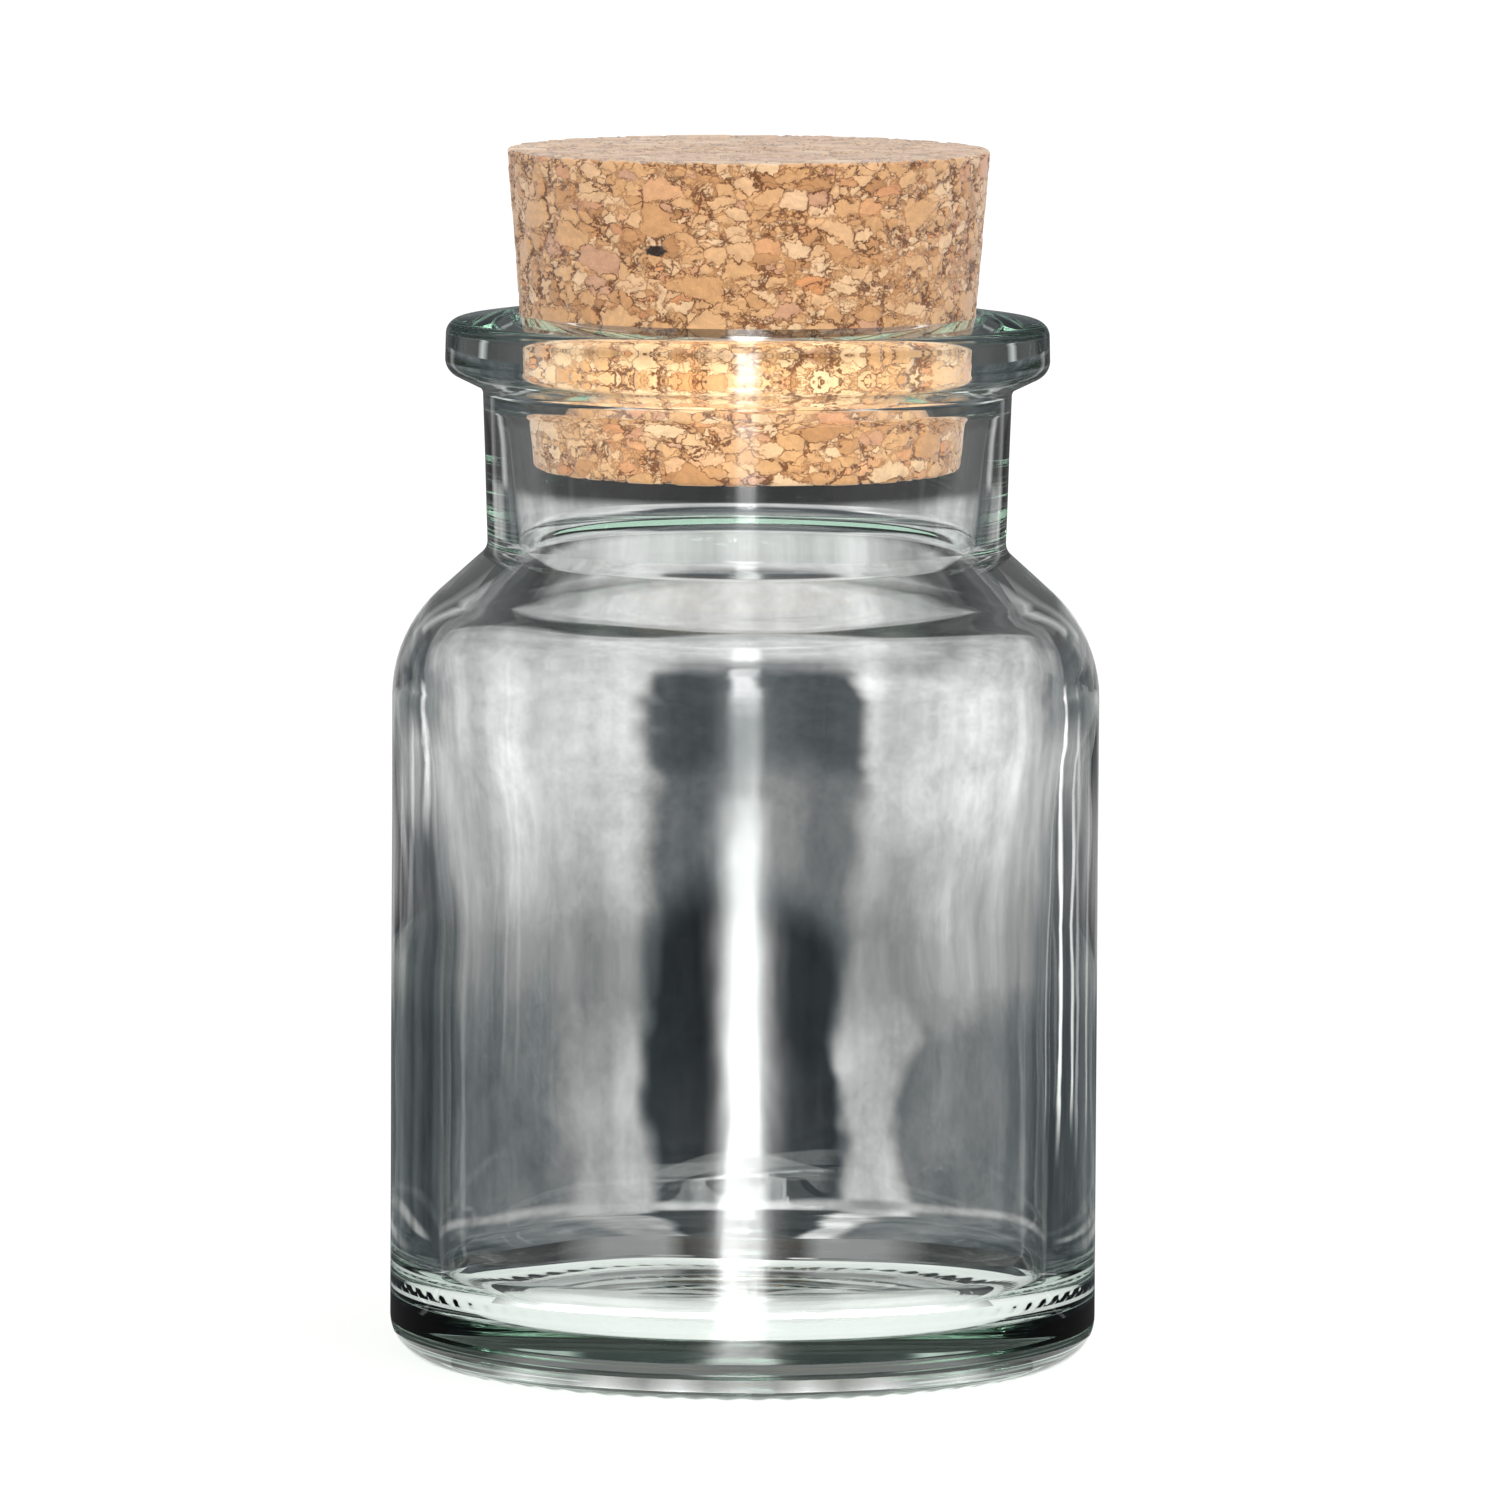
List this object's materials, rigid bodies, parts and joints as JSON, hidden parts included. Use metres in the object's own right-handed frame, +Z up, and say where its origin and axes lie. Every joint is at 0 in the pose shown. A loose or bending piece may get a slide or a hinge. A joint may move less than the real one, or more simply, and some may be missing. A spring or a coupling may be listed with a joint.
{
  "type": "glass jar with cork lid",
  "caption": "Round clear glass storage jar with a short neck and a broad rolled lip, closed by a tapered pressed cork stopper that pulls straight out.",
  "frame": {"origin": "centre of the plane that the jar stands on, on the axis of the jar", "axes": "+Z up along the axis of the jar, towards the mouth and the stopper; +X to the right and -Y towards the viewer"},
  "size_m": [0.06, 0.06, 0.1029],
  "materials": {
    "glass": "clear moulded soda-lime glass, fire polished, faintly green where it is thick",
    "cork": "matte pressed cork, ground granules glued together, unsealed"
  },
  "bodies": {
    "jar": {"glass_jar": "glass"},
    "stopper": {"cork_stopper": "cork"}
  },
  "joints": [
    {"name": "cork_lift", "type": "slide", "parent": "jar", "child": "stopper", "axis": [0, 0, 1], "range_m": [0, 0.03]}
  ]
}
